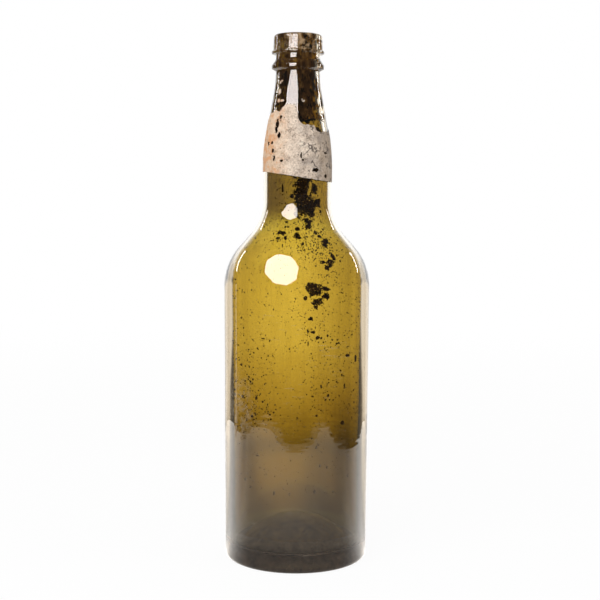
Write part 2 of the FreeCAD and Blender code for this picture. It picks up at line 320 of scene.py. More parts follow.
def paintFloor():
    material, shade = newMaterial("paleFloor")
    camera, mirrored, through, entered = rayKinds(shade)
    place = shade.node("TexCoord", {}, {}, "Object")
    across = axisOf(place, "X")
    along = axisOf(place, "Y")
    far = lengthOf(place)
    behind = softStep(along, *paleFloor["behindFrom"])
    onTable, table = tableGlow(across, along, far, entered)
    sheet = sheetGlow(place, entered * softStep(far, *paleFloor["wideFrom"]))
    sheet = sheet * softStep(far, *paleFloor["upperFrom"], 1.0, whiteRoom["upperGlow"])
    glossy = onTable * table + (1 - onTable) * sheet
    shaded = shadeBehind(across, along, far, behind)
    thrown = mirrored * entered
    glow = through * shaded + thrown * behind * sheet * softStep(far, *paleFloor["rimShade"])
    glow = glow + thrown * (1 - behind) * glossy * softStep(far, *paleFloor["frontShade"])
    glow = glow + mirrored * (1 - entered) * glossy * softStep(far, *paleFloor["heelShade"])
    cool = 1 - through * softStep(shaded, *paleFloor["deepFrom"], 1.0, 0.0)
    glowTone = blendColour(cool, paleFloor["deepGlow"], paleFloor["glow"])
    inGlass = shade.node("Emission", {}, {"Color": glowTone, "Strength": glow})
    diffuse = shade.node("BsdfDiffuse", {}, {"Color": grey(paleFloor["dull"])})
    white = shade.node("Emission", {}, {"Color": grey(1.0), "Strength": 1.0})
    keptWhite = camera * softStep(far, *paleFloor["whiteFrom"], *paleFloor["white"])
    seen = blendShader(keptWhite, diffuse, white)
    shade.node("OutputMaterial", {}, {"Surface": blendShader(mirrored + through, seen, inGlass)})
    material.cycles.emission_sampling = "NONE"
    return material


def layFloor():
    bm = bmesh.new()
    bmesh.ops.create_grid(bm, x_segments=1, y_segments=1, size=paleFloor["half"])
    bmesh.ops.translate(bm, vec=(0, 0, -paleFloor["under"]), verts=bm.verts)
    floor = addObject(bm, "paleFloor", paintFloor())


# cards that only show in the gloss of the glass; soft is what rough things see of them
cards = [
    {"name": "softOctagon", "sides": 8, "turn": 79.2, "azimuth": -28, "elevation": 35, "away": 1.1,
     "half": (0.70, 0.515), "lean": -56.7, "glow": 17.5, "soft": 2.5},
    {"name": "leftStrip", "sides": 4, "turn": 45, "azimuth": -124, "elevation": 20.5, "away": 1.0,
     "half": (0.036, 0.30), "lean": 43, "glow": 14, "soft": 2.5},
    {"name": "rightStrip", "sides": 4, "turn": 45, "azimuth": 124.5, "elevation": 19.5, "away": 1.0,
     "half": (0.036, 0.28), "lean": -43, "glow": 14, "soft": 2.5},
    {"name": "nearStrip", "sides": 4, "turn": 45, "azimuth": -105, "elevation": -16, "away": 0.30,
     "half": (0.013, 0.10), "lean": 0, "glow": 1.3, "soft": 1.3},
    # keeps the octagon out of the neck's lower curve
    {"name": "blackFlag", "sides": 4, "turn": 45, "azimuth": -15, "elevation": 49, "away": 0.0473,
     "half": (0.034, 0.0092), "lean": 0, "glow": 0, "soft": 0},
]
lamps = [
    {"name": "keyLamp", "azimuth": -28, "elevation": 40, "away": 1.1, "size": 0.9, "power": 10.6},
    {"name": "fillLamp", "azimuth": 60, "elevation": 35, "away": 1.3, "size": 1.0, "power": 4.0},
    {"name": "topLamp", "azimuth": 180, "elevation": 75, "away": 1.2, "size": 0.9, "power": 3.2},
]
aimHeight = 170 * mm
cardTint = (1.0, 0.91, 0.87, 1.0)


def facing(azimuth, elevation, away):
    flat = math.cos(math.radians(elevation))
    turn = math.radians(azimuth)
    way = Vector((math.sin(turn) * flat, -math.cos(turn) * flat, math.sin(math.radians(elevation))))
    place = Matrix.Translation(way * away + Vector((0, 0, aimHeight)))
    return place @ way.to_track_quat("Z", "Y").to_matrix().to_4x4()


def hangCard(card):
    bm = bmesh.new()
    bmesh.ops.create_circle(bm, cap_ends=True, segments=card["sides"], radius=1.0)
    bmesh.ops.rotate(bm, matrix=Matrix.Rotation(math.radians(card["turn"]), 3, "Z"), verts=bm.verts)
    bmesh.ops.scale(bm, vec=(*card["half"], 1), verts=bm.verts)
    bmesh.ops.rotate(bm, matrix=Matrix.Rotation(math.radians(card["lean"]), 3, "Z"), verts=bm.verts)
    bmesh.ops.transform(bm, matrix=facing(card["azimuth"], card["elevation"], card["away"]), verts=bm.verts)
    material, shade = newMaterial(card["name"])
    camera, mirrored, _, entered = rayKinds(shade)
    glow = camera.also("Is Singular Ray") * (card["glow"] - card["soft"]) + card["soft"]
    clear = shade.node("BsdfTransparent", {}, {})
    bright = shade.node("Emission", {}, {"Color": cardTint, "Strength": glow})
    shade.node("OutputMaterial", {}, {"Surface": blendShader(mirrored * (1 - entered), clear, bright)})
    material.cycles.emission_sampling = "NONE"
    hung = addObject(bm, card["name"], material)
    hung.visible_camera = False
    hung.visible_diffuse = False
    hung.visible_shadow = False


def hangLamp(lamp):
    lampData = bpy.data.lights.new(lamp["name"], "AREA")
    lampData.size = lamp["size"]
    lampData.energy = lamp["power"]
    hung = bpy.data.objects.new(lamp["name"], lampData)
    hung.matrix_world = facing(lamp["azimuth"], lamp["elevation"], lamp["away"])
    hung.visible_glossy = False
    hung.visible_transmission = False
    scene.collection.objects.link(hung)


hangRoom()
layFloor()
for card in cards:
    hangCard(card)
for lamp in lamps:
    hangLamp(lamp)
print("studio lit")


# turned outlines: corners are (radius, height, rounding); arcs are spun, straight runs divided
def turnOutline(bm, corners, spacing):
    points = [Vector((radius, 0, height)) for radius, height, rounding in corners]
    end = bm.verts.new(points[0])
    for index, corner in enumerate(points[1:], 1):
        rounding = corners[index][2]
        if not rounding:
            reached = bm.verts.new(corner)
            bm.edges.new((end, reached))
            end = reached
            continue
        before = (corner - points[index - 1]).normalized()
        after = (points[index + 1] - corner).normalized()
        turn = before.angle(after)
        start = bm.verts.new(corner - before * rounding * math.tan(turn / 2))
        bm.edges.new((end, start))
        inward = (after - before * before.dot(after)).normalized()
        spun = bmesh.ops.spin(bm, geom=[start], cent=start.co + inward * rounding, axis=before.cross(after),
                              angle=turn, steps=max(5, int(turn * rounding / spacing)))
        end = next(item for item in spun["geom_last"] if isinstance(item, bmesh.types.BMVert))
    for edge in bm.edges[:]:
        cuts = int(edge.calc_length() / spacing)
        if cuts:
            bmesh.ops.subdivide_edges(bm, edges=[edge], cuts=cuts)


def spinRound(bm, steps):
    bmesh.ops.spin(bm, geom=bm.verts[:] + bm.edges[:], cent=(0, 0, 0), axis=(0, 0, 1),
                   angle=2 * math.pi, steps=steps, use_merge=True)
    bmesh.ops.remove_doubles(bm, verts=bm.verts, dist=0.004 * mm)
    bmesh.ops.recalc_face_normals(bm, faces=bm.faces)
    bm.normal_update()


def scaled(corners):
    return [(radius * mm, height * mm, rounding * mm) for radius, height, rounding in corners]


def reachOf(corners, spacing):  # (height, radius) pairs up a wall, for seating things on it
    bm = bmesh.new()
    turnOutline(bm, scaled(corners), spacing)
    reach = sorted((vert.co.z, vert.co.x) for vert in bm.verts)
    bm.free()
    return reach


def radiusAt(reach, height):
    index = min(max(bisect.bisect(reach, (height, 0.0)), 1), len(reach) - 1)
    (lower, inner), (upper, outer) = reach[index - 1], reach[index]
    if upper == lower:
        return inner
    return inner + (outer - inner) * min(1.0, max(0.0, (height - lower) / (upper - lower)))


def onWall(radius, turn, height):  # turn from the front, to the right
    return Vector((radius * math.sin(turn), -radius * math.cos(turn), height))


def smoothStep(value, low, high):
    share = min(1.0, max(0.0, (value - low) / (high - low)))
    return share * share * (3 - 2 * share)


def markFaces(bm, name, test):
    layer = bm.faces.layers.float.new(name)
    for face in bm.faces:
        middle = face.calc_center_median()
        face[layer] = float(test(face, middle.z, middle.xy.length))


def setPiece(bm, name, material, body, slotName, *nodes, sharp=180):
    piece = addObject(bm, name, material)
    mesh = piece.data
    mesh.polygons.foreach_set("use_smooth", [True] * len(mesh.polygons))
    mesh.set_sharp_from_angle(angle=math.radians(sharp))
    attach(piece, body)
    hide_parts(*nodes)
    print(name, len(mesh.polygons), "faces")
    return piece


def softenRims(bm, verts, times):
    rims = [vert for vert in verts if vert.is_boundary]
    for each in range(times):
        bmesh.ops.smooth_vert(bm, verts=rims, factor=0.5, use_axis_x=True, use_axis_y=True, use_axis_z=True)


def addThickness(piece, thick):
    wall = piece.modifiers.new("thickness", "SOLIDIFY")
    wall.thickness = thick
    wall.offset = 1.0


# olive glass, stained amber on the inside; ranges are (from, to) or (from, to, amount at each)
oliveGlass = {
    "absorb": (0.909, 0.75, 0.45, 1.0),
    "density": 68.0,
    "stainLight": (0.832, 0.632, 0.084, 1.0),
    "stainDark": (0.728, 0.527, 0.056, 1.0),
    "stainThick": (0.412, 0.282, 0.028, 1.0),
    "stainNeck": (0.315, 0.187, 0.021, 1.0),
    "stainNeckLeft": (0.108, 0.056, 0.014, 1.0),
    "stainLow": (0.74, 0.485, 0.055, 1.0),
    "thickRight": (-5 * mm, 38 * mm, 0.0, 0.85),
    "thickLeft": (-40 * mm, 0.0, 0.45, 0.0),
    "thinRim": (30.5 * mm, 35 * mm, 1.0, 0.3),
    "lowTo": (35 * mm, 85 * mm, 0.45, 0.0),
    "neckFrom": (178 * mm, 196 * mm),
    "neckRight": (-13 * mm, 3 * mm),
    "hazeFrom": (152 * mm, 170 * mm),
    "crumbsFrom": (165 * mm, 185 * mm),
    "speck": (0.10, 0.055, 0.02, 1.0),
    "clean": (1.0, 1.0, 0.99, 1.0),
    "smeared": (0.95, 0.94, 0.90, 1.0),
    "refraction": 1.52,
    "rippleHeight": 3.6e-5,
    "rippleFrom": (56 * mm, 66 * mm),
    "rippleTo": (80 * mm, 96 * mm, 1.0, 0.0),
    "rippleRest": 0.05,  # their share elsewhere
}


def stainOf(place):
    across = axisOf(place, "X")
    height = axisOf(place, "Z")
    mottle = grain(place, 90, 5.0, 0.6, (1, 1, 0.5)) * 0.55 + grain(place, 1100, 3.0, 0.7) * 0.45
    stain = ramp(mottle, (0.38, oliveGlass["stainDark"]), (0.60, oliveGlass["stainLight"]))
    # thicker to the sides, most to the right, and up the neck, in fine streaks
    thick = softStep(across, *oliveGlass["thickRight"]) + softStep(across, *oliveGlass["thickLeft"])
    thick = thick * softStep(across.maths("ABSOLUTE", across), *oliveGlass["thinRim"])
    streaks = softStep(grain(place, 1.0, 3.0, 0.6, (420, 420, 7)), 0.50, 0.72) * 0.22
    stain = blendColour(thick + streaks, stain, oliveGlass["stainThick"])
    stain = blendColour(softStep(height, *oliveGlass["lowTo"]), stain, oliveGlass["stainLow"])
    upNeck = softStep(height, *oliveGlass["neckFrom"])
    neckRight = softStep(across, *oliveGlass["neckRight"])
    neck = blendColour(neckRight, oliveGlass["stainNeckLeft"], oliveGlass["stainNeck"])
    stain = blendColour(upNeck * 0.9, stain, neck)
    blots = softStep(grain(place, 620, 4.0, 0.65, (1, 1, 0.6)), 0.53, 0.62) * upNeck * 0.7
    haze = softStep(grain(place, 60, 4.0, 0.6, (1, 1, 2.5)), 0.48, 0.62)
    haze = haze * softStep(height, *oliveGlass["hazeFrom"]) * (1 - upNeck) * 0.3
    stain = blendColour(haze, stain, oliveGlass["stainThick"])
    specks = specksOf(place, 260, 0.16, 0.30) * 0.8
    crumbs = specksOf(place, 480, 0.30, 0.35) * softStep(height, *oliveGlass["crumbsFrom"]) * 0.75
    crumbs = crumbs + specksOf(place, 640, 0.20, 0.16) * 0.6
    return blendColour(specks.most(crumbs).most(blots), stain, oliveGlass["speck"])


def mattFinish(colour, rough, shine=0.1):
    sockets = {"Base Color": colour, "Roughness": rough, "Specular IOR Level": shine}
    return colour.node("BsdfPrincipled", {}, sockets)


# dark film left by the cork in the bore, with clear flecks, more of them to the right; its amber patches are
# painted glints of light through the glass, and its lower end has painted light
corkFilm = {
    "low": 233 * mm,
    "ragged": 16 * mm,  # height of its uneven lower edge
    "edge": 1 * mm,
    "clearRight": (4 * mm, 9 * mm, 0.0, 0.10),
    "lipFrom": (266 * mm, 280 * mm),
    # painted light at the film's lower end
    "paintedLightLow": (240 * mm, 252 * mm, 0.10, 0.0),
    # painted glints: more of them to the sides, brighter to the right
    "glintSides": (4 * mm, 9.5 * mm, 0.0, 0.13),
    "glintRight": (-2 * mm, 4 * mm),
}


def filmOver(wall, place, inside, lipward):
    across = axisOf(place, "X")
    height = axisOf(place, "Z")
    clearer = softStep(across, *corkFilm["clearRight"])
    flecks = softStep(grain(place, 420, 4.0, 0.6, (1, 1, 0.4)) + clearer, 0.58, 0.64, 1.0, 0.0)
    ragged = grain(place, 300, 3.0, 0.6) * corkFilm["ragged"] + corkFilm["low"]
    coated = softStep(height - ragged, 0.0, corkFilm["edge"]) * inside * flecks
    # paler toward the lip; lighter at the lower end with painted light
    paler = lipward * 0.12 + softStep(height, *corkFilm["paintedLightLow"])
    filmAndLightTone = ramp(grain(place, 420, 4.0, 0.6, (1, 1, 0.5)) + paler, (0.35, tone(58, 40, 21)),
                    (0.55, tone(94, 66, 34)), (0.75, tone(160, 121, 64)))
    # amber patches: painted glints of light through the glass walls
    sideways = softStep(across.maths("ABSOLUTE", across), *corkFilm["glintSides"]) + lipward * 0.03
    paintedGlints = softStep(grain(place, 560, 4.0, 0.6, (1, 1, 0.6)) + sideways, 0.63, 0.69)
    glintTone = blendColour(softStep(across, *corkFilm["glintRight"]), tone(158, 125, 38), tone(196, 143, 44))
    filmAndLightTone = blendColour(paintedGlints * 0.9, filmAndLightTone, glintTone)
    return blendShader(coated, wall, mattFinish(filmAndLightTone, 0.7))


# lees dried on the inner dome and round it, laid opaque so that they also paint the base's shade; in the
# push-up underneath, an opaque sheet of painted shade
leesAndShade = {
    "domeEdge": (32.2 * mm, 33.6 * mm, 1.0, 0.0),
    "domeTop": (24 * mm, 28 * mm, 1.0, 0.0),
    "floorTop": (10 * mm, 17 * mm, 1.0, 0.0),
    "cover": (13.5 * mm, 23.5 * mm, 0.95, 0.85),
    # where the sheet of painted shade lies in the push-up
    "paintedShadeEdge": (28.5 * mm, 30 * mm, 0.86, 0.0),
    "paintedShadeTop": (16 * mm, 17.5 * mm, 1.0, 0.0),
}


def leesAndShadeOver(wall, place, inside):
    height = axisOf(place, "Z")
    out = lengthOf(vectorMaths("MULTIPLY", place, (1, 1, 0)))
    onDome = softStep(out, *leesAndShade["domeEdge"]) * softStep(height, *leesAndShade["domeTop"])
    onDome = onDome.most(softStep(height, *leesAndShade["floorTop"])) * inside
    leesShadeTone = ramp(grain(place, 240, 5.0, 0.65), (0.35, tone(74, 63, 54)), (0.65, tone(120, 104, 91)))
    # lees on the dome, opaque so that they also paint the shade over the base
    wall = blendShader(onDome * softStep(height, *leesAndShade["cover"]), wall, mattFinish(leesShadeTone, 0.9))
    # push-up underneath: an opaque sheet of painted shade that keeps the base dark
    under = softStep(out, *leesAndShade["paintedShadeEdge"]) * softStep(height, *leesAndShade["paintedShadeTop"])
    paintedShadeTone = ramp(grain(place, 180, 5.0, 0.65), (0.35, tone(96, 84, 74)), (0.65, tone(140, 124, 110)))
    return blendShader(under * (1 - inside), wall, mattFinish(paintedShadeTone, 0.9))


# dust outside: a smudge low on the left, level scuffs, motes and a smeared swirl on the lip
outerDust = {
    "smudgeSpot": (-31 * mm, -25 * mm, 86 * mm),
    "smudgeShape": (1, 1, 0.55),
    "smudgeReach": (4 * mm, 15 * mm, 0.28, 0.0),
    "motesTo": (55 * mm, 85 * mm, 1.0, 0.2),
    "wornTo": (120 * mm, 150 * mm, 1.0, 0.0),
    "lipFrom": (277 * mm, 278.5 * mm),
    "swirlSpot": (2.5 * mm, -12.8 * mm, 283 * mm),
    "swirlReach": (4 * mm, 11 * mm, 0.65, 0.10),
}


def dustOver(wall, place, inside, lipward):
    height = axisOf(place, "Z")
    away = vectorMaths("SUBTRACT", place, outerDust["smudgeSpot"])
    away = vectorMaths("MULTIPLY", away, outerDust["smudgeShape"])
    smudge = softStep(lengthOf(away), *outerDust["smudgeReach"])
    smudge = smudge * softStep(grain(place, 420, 6.0, 0.7), 0.42, 0.66)
    scuffs = softStep(grain(place, 1.0, 3.0, 0.6, (100, 100, 1300)), 0.60, 0.66)
    scuffs = scuffs * softStep(grain(place, 45, 2.0), 0.52, 0.60) * 0.2
    motes = specksOf(place, 520, 0.30, 0.35) * 0.05 + softStep(grain(place, 800, 4.0, 0.7), 0.46, 0.64) * 0.03
    motes = motes * softStep(height, *outerDust["motesTo"])
    worn = scuffs.most(motes) * softStep(height, *outerDust["wornTo"])
    away = vectorMaths("SUBTRACT", place, outerDust["swirlSpot"])
    swirl = softStep(lengthOf(away), *outerDust["swirlReach"])
    swirl = swirl * softStep(height, *outerDust["lipFrom"])
    swirl = swirl * softStep(grain(place, 300, 4.0, 0.6), 0.45, 0.58)
    dusty = smudge.most(worn).most(swirl) * (1 - inside)
    dustTone = blendColour(lipward, tone(180, 166, 146), tone(172, 143, 108))
    return blendShader(dusty, wall, mattFinish(dustTone, 0.9, 0.5))


def paintGlass():
    material, shade = newMaterial("oliveGlass")
    place = shade.node("TexCoord", {}, {}, "Object")
    height = axisOf(place, "Z")
    inside = shade.node("Attribute", {"attribute_name": "inside"}, {}, "Fac")
    fused = shade.node("Attribute", {"attribute_name": "fused"}, {}, "Fac")
    smear = softStep(grain(place, 26, 4.0, 0.6, (1, 1, 0.35)), 0.52, 0.75)
    clean = blendColour(smear, oliveGlass["clean"], oliveGlass["smeared"])
    rippled = softStep(height, *oliveGlass["rippleFrom"]) * softStep(height, *oliveGlass["rippleTo"])
    waves = grain(place, 1.0, 1.0, 0.4, (13, 13, 340)) * (rippled + oliveGlass["rippleRest"])
    waves = waves * oliveGlass["rippleHeight"]
    bump = shade.node("Bump", {}, {"Strength": 1.0, "Distance": 1.0, "Height": waves})
    glass = shade.node("BsdfPrincipled", {}, {
        "Base Color": blendColour(inside, clean, stainOf(place)), "Roughness": 0.0,
        "IOR": oliveGlass["refraction"], "Transmission Weight": 1.0, "Normal": bump})
    lipward = softStep(height, *corkFilm["lipFrom"])
    wall = leesAndShadeOver(filmOver(glass, place, inside, lipward), place, inside)
    wall = dustOver(wall, place, inside, lipward)
    clear = shade.node("BsdfTransparent", {}, {})
    volume = shade.node("VolumeAbsorption", {}, {
        "Color": oliveGlass["absorb"], "Density": oliveGlass["density"]})
    shade.node("OutputMaterial", {}, {"Surface": blendShader(fused, wall, clear), "Volume": volume})
    return material


glassMaterial = paintGlass()

# blown bottle: outside from the push-up's top to the neck's end, then down the inside
bottle = {
    "pushUp": [(0, 16.0, 0), (18.57, 16.0, 30), (28.0, 0, 2)],
    "outside": [(39.3, 0, 3), (40.0, 163.8, 32), (18.6, 187.6, 27), (18.6, 226, 110), (12.1, 262, 60),
                (12.1, 268.2, 0), (12.1, 274.6, 0), (12.1, 277.3, 0), (12.1, 285, 0)],
    "inside": [(9.2, 285, 0), (9.2, 252, 60), (16.8, 226, 55), (16.8, 188.1, 28.8), (35.8, 164.3, 27.8),
               (33.9, 9, 2)],
    "innerDome": [(30.17, 9, 2), (18.34, 23.0, 37), (0, 23.0, 0)],
    "domeTop": 23.0 * mm,
    "spacing": 2.0 * mm,
    "steps": 144,
    "bore": 9.3 * mm,
    "neckSeat": 12.2 * mm,  # lip and ring touch the neck within it
    "neckEnd": 285.05 * mm,
    "cavityFloor": 8 * mm,
    "cavityWall": 16.5 * mm,
    "leastTilt": 0.2,  # how far a face of the cavity looks up or in
    "slowWave": 0.10 * mm,
    "fineWave": 0.012 * mm,
    "waveBeyond": 30 * mm,  # only the body's wall is wavy
    "waveFrom": (4 * mm, 20 * mm),
    "waveTo": (115 * mm, 150 * mm),
}
outerReach = reachOf([(36.3, 0, 0)] + bottle["outside"], 0.5 * mm)
innerReach = reachOf(bottle["inside"] + [(30.17, 9, 0)], 0.5 * mm)


def wave(point, inner):
    shift = Vector((7.3, 1.9, 4.1)) if inner else Vector((0.4, 2.2, 9.7))
    slow = noise.noise(point * 24 + shift) * bottle["slowWave"]
    fine = noise.noise(Vector((point.x * 55, point.y * 55, point.z * 110)) + shift) * bottle["fineWave"]
    fade = smoothStep(point.z, *bottle["waveFrom"]) * (1 - smoothStep(point.z, *bottle["waveTo"]))
    return (slow + fine) * fade


def blowBottle():
    bm = bmesh.new()
    corners = bottle["pushUp"] + bottle["outside"] + bottle["inside"] + bottle["innerDome"]
    turnOutline(bm, scaled(corners), bottle["spacing"])
    spinRound(bm, bottle["steps"])
    for vert in bm.verts:
        outward = Vector((vert.co.x, vert.co.y, 0))
        inner = vert.normal.dot(outward) < 0
        if outward.length > bottle["waveBeyond"]:
            vert.co += outward.normalized() * wave(vert.co, inner)
    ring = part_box("string_ring")
    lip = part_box("lip_band")

    def inCavity(face, height, radius):
        if face.normal.z > bottle["leastTilt"] and bottle["cavityFloor"] < height < bottle["domeTop"] + mm:
            return True
        outward = Vector((*face.calc_center_median().xy, 0)).normalized()
        return face.normal.dot(outward) < -bottle["leastTilt"] and height > bottle["cavityWall"]

    def underBands(face, height, radius):
        return radius > bottle["bore"] and (ring[0].z < height < ring[1].z or height > lip[0].z)

    markFaces(bm, "inside", inCavity)
    markFaces(bm, "fused", underBands)
    setPiece(bm, "bottleGlass", glassMaterial, "bottle", "olive_glass", "bottle_glass")


blowBottle()

# laid-on lip and string ring, fused to the neck where they touch it
lipBand = {
    "corners": [(12.12, 281, 0), (12.12, 277.3, 0.2), (14.3, 277.3, 0.6), (14.3, 279.0, 0.6),
                (13.45, 279.2, 0.4), (13.15, 288, 2.0), (9.2, 288, 0.9), (9.2, 285.02, 0.1),
                (12.12, 285.02, 0.2), (12.12, 281, 0)],
    "spacing": 0.5 * mm,
    "steps": 128,
}
stringRing = {
    "corners": [(12.12, 271, 0), (12.12, 268.2, 0.2), (14.3, 269.4, 0.6), (14.3, 271.2, 0.6),
                (12.12, 274.6, 0.2), (12.12, 271, 0)],
    "spacing": 0.4 * mm,
    "steps": 128,
}


def layBand(shape, name, node):
    bm = bmesh.new()
    turnOutline(bm, scaled(shape["corners"]), shape["spacing"])
    spinRound(bm, shape["steps"])

    def inBore(face, height, radius):
        return radius < bottle["bore"]

    def onNeck(face, height, radius):
        return bottle["bore"] < radius < bottle["neckSeat"] and height < bottle["neckEnd"]

    markFaces(bm, "inside", inBore)
    markFaces(bm, "fused", onNeck)
    setPiece(bm, name, glassMaterial, "bottle", "olive_glass", node, sharp=50)


layBand(lipBand, "lipBand", "lip_band")
layBand(stringRing, "stringRing", "string_ring")

# old cork driven almost flush, dark with what it kept in
oldCork = {
    "corners": [(0, 242.5, 0), (9.14, 242.5, 0.8), (9.14, 286.5, 0.8), (0, 286.5, 0)],
    "top": 286.5 * mm,
    "spacing": 0.7 * mm,
    "steps": 110,
    "poreDepth": 0.55 * mm,
    "topSag": 0.5 * mm,
    "topReach": 9 * mm,
    "sideFrom": 8.5 * mm,
    "soaked": (255 * mm, 286.8 * mm, 0.75, 0.35),  # darker to its lower end
}


def paintCork():
    material, shade = newMaterial("oldCork")
    place = shade.node("TexCoord", {}, {}, "Object")
    body = grain(place, 420, 5.0, 0.65)
    pores = softStep(grain(place, 700, 2.0, 0.5, (1, 1, 0.6)), 0.56, 0.68)
    base = ramp(body, (0.30, tone(52, 33, 18)), (0.50, tone(88, 58, 33)), (0.70, tone(124, 88, 54)))
    soaked = softStep(axisOf(place, "Z"), *oldCork["soaked"])
    stained = blendColour(soaked, base, tone(34, 21, 12))
    colour = blendColour(pores, stained, tone(18, 11, 7))
    coarseFinish(shade, colour, 0.95 - body * 0.25, body - pores * 0.6, depth=0.6 * mm, strength=0.7)
    return material


def driveCork():
    bm = bmesh.new()
    turnOutline(bm, scaled(oldCork["corners"]), oldCork["spacing"])
    spinRound(bm, oldCork["steps"])
    for vert in bm.verts:
        outward = Vector((vert.co.x, vert.co.y, 0))
        pore = max(0.0, noise.noise(vert.co * 520) - 0.22) * oldCork["poreDepth"]
        if outward.length > oldCork["sideFrom"]:
            vert.co -= outward.normalized() * pore
        elif vert.co.z > oldCork["top"] - mm:
            rough = 0.5 + 0.5 * noise.noise(vert.co * 380)
            sag = oldCork["topSag"] * (1 - (outward.length / oldCork["topReach"]) ** 2)
            vert.co.z -= sag * rough + pore
    setPiece(bm, "oldCork", paintCork(), "stopper", "old_cork", "cork", sharp=60)


driveCork()

# lead foil: what is left of the capsule, torn above and cut slantwise below
leadFoil = {
    "hem": 211.0 * mm,
    "hemSlope": math.tan(math.radians(8.5)),
    "tornEdge": [(-180, 243.5), (-150, 241), (-120, 244.5), (-95, 242), (-80, 241.9), (-73, 245.1),
                 (-59, 245.9), (-50, 246.9), (-40, 245.7), (-34, 247.8), (-27, 249.5), (-21, 250.3),
                 (-12, 249.6), (-3, 250), (-0.5, 246), (1.5, 241.7), (5, 240.1), (11, 238.8), (18, 239.1),
                 (26, 238.6), (33, 238.4), (38, 235.5), (45, 234.5), (57, 235.7), (73, 234.8), (95, 237),
                 (120, 241), (150, 239.5), (180, 243.5)],  # turn from the front, height
    "fray": 1.5 * mm,
    "rows": 72,
    "steps": 300,
    "off": 0.03 * mm,
    "thick": 0.32 * mm,
    "crumple": 0.20 * mm,
    "crumpleRadius": 15 * mm,
    "hemWave": 0.25 * mm,
    "rimSmoothings": 2,
    "rustTo": (-16 * mm, -2 * mm, 1.0, 0.0),  # across the front, from left to right
    # painted shade, darker towards the right of the foil
    "shadedFrom": (6 * mm, 18 * mm, 0.0, 0.5),
    "smudgeFrom": (-4 * mm, 4 * mm),
    "cracksFrom": (-2 * mm, 6 * mm),
    # across the front, height, half width, half height
    "holes": [(-10.6, 239.3, 0.8, 2.0), (-11.2, 236.0, 0.7, 1.6), (-8.8, 243.0, 0.6, 1.2),
              (-9.8, 232.9, 0.8, 1.4), (-15.3, 228.8, 0.5, 1.1), (-13.3, 229.2, 0.6, 0.7),
              (-13.3, 224.9, 0.7, 0.9), (-12.4, 221.1, 0.5, 1.5), (-8.3, 219.5, 0.8, 0.6),
              (11.1, 236.1, 1.5, 0.7), (2.0, 222.1, 0.35, 1.4), (2.9, 219.9, 0.7, 0.5),
              (9.6, 214.7, 1.5, 0.9), (15.1, 211.6, 0.6, 1.0), (15.0, 223.9, 0.9, 0.4)],
    "holeRagged": 0.7,
}


def tornHeight(turn):
    edge = leadFoil["tornEdge"]
    degrees = math.degrees(turn)
    index = max(1, bisect.bisect([point[0] for point in edge[:-1]], degrees))
    (left, low), (right, high) = edge[index - 1], edge[index]
    level = low + (high - low) * (degrees - left) / (right - left)
    fray = noise.noise(onWall(24, turn, 0)) + noise.noise(onWall(60, turn, 3))
    fray += 0.6 * noise.noise(onWall(130, turn, 5))
    return level * mm + fray * leadFoil["fray"] * 0.5


def paintFoil():
    material, shade = newMaterial("leadFoil")
    place = shade.node("TexCoord", {}, {}, "Object")
    across = axisOf(place, "X")
    cloud = grain(place, 170, 6.0, 0.62)
    fine = grain(place, 1100, 4.0, 0.65)
    chalk = ramp(cloud * 0.5 + fine * 0.5, (0.37, tone(116, 104, 92)), (0.44, tone(180, 162, 145)),
                 (0.52, tone(211, 193, 175)), (0.63, tone(236, 222, 204)))
    leftward = softStep(across, *leadFoil["rustTo"])
    rust = softStep(grain(place, 260, 4.0, 0.6), 0.46, 0.62) * leftward
    warmedAndShaded = blendColour(leftward * 0.6, chalk, tone(224, 188, 152))
    # darker to the right: painted shade, as if the light fell from the left
    warmedAndShaded = blendColour(softStep(across, *leadFoil["shadedFrom"]), warmedAndShaded, tone(160, 138, 112))
    stained = blendColour(rust * 0.75, warmedAndShaded, tone(214, 150, 96))
    pits = softStep(grain(place, 620, 3.0, 0.6), 0.63, 0.69)
    smudge = softStep(grain(place, 130, 4.0, 0.6), 0.50, 0.64) * softStep(across, *leadFoil["smudgeFrom"])
    stained = blendColour(smudge * 0.45, stained, tone(128, 119, 114))
    wavy = place.node("VectorMath", {"operation": "MULTIPLY_ADD"}, {
        0: grain(place, 400, 3.0).also("Color"), 1: (0.004, 0.004, 0.004), 2: place})
    plates = place.node("TexVoronoi", {"feature": "DISTANCE_TO_EDGE"}, {"Vector": wavy, "Scale": 230.0})
    cracks = softStep(plates, 0.03, 0.10, 1.0, 0.0) * softStep(grain(place, 170, 3.0), 0.50, 0.56)
    cracks = cracks * softStep(across, *leadFoil["cracksFrom"])
    marks = pits.most(cracks)
    colour = blendColour(marks * 0.85, stained, tone(66, 56, 50))
    creases = grain(place, 320, 5.0, 0.65, (1, 1, 0.6))
    relief = creases + fine * 0.4 - marks * 0.5
    coarseFinish(shade, colour, 0.45 + fine * 0.3, relief, depth=0.5 * mm, strength=0.6, metallic=0.08)
    return material


foilMaterial = paintFoil()


def inHole(point):
    if point.y > 0:
        return False
    ragged = noise.noise(Vector((point.x, point.z, 0)) * 900) * leadFoil["holeRagged"]
    for across, height, halfWide, halfHigh in leadFoil["holes"]:
        wide = (point.x / mm - across) / halfWide
        high = (point.z / mm - height) / halfHigh
        if math.hypot(wide, high) + ragged < 1:
            return True
    return False


